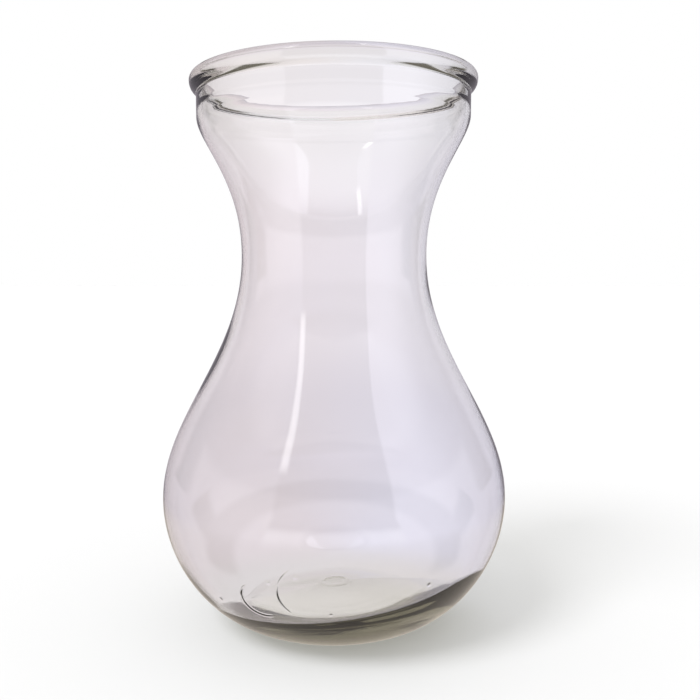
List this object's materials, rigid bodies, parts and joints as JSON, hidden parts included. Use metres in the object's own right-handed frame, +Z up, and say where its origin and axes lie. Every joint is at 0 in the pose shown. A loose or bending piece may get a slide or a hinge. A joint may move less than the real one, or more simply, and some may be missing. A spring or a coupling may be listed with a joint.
{
  "type": "hyacinth forcing vase",
  "caption": "Clear blown glass vase with a rolled rim, a cup that seats a flower bulb above a narrow waist, and a round belly that holds water for the roots.",
  "frame": {"origin": "middle of the foot, on the surface that the vase stands on", "axes": "+Z up along the vase's axis of revolution, out of the mouth; +X and +Y are any two square directions, because the vase is round"},
  "size_m": [0.0958, 0.0958, 0.15],
  "materials": {
    "clear_glass": "polished clear soda-lime glass with a faint olive tint where it is thick"
  },
  "bodies": {
    "root": {"glass_vase": "clear_glass"}
  },
  "joints": []
}
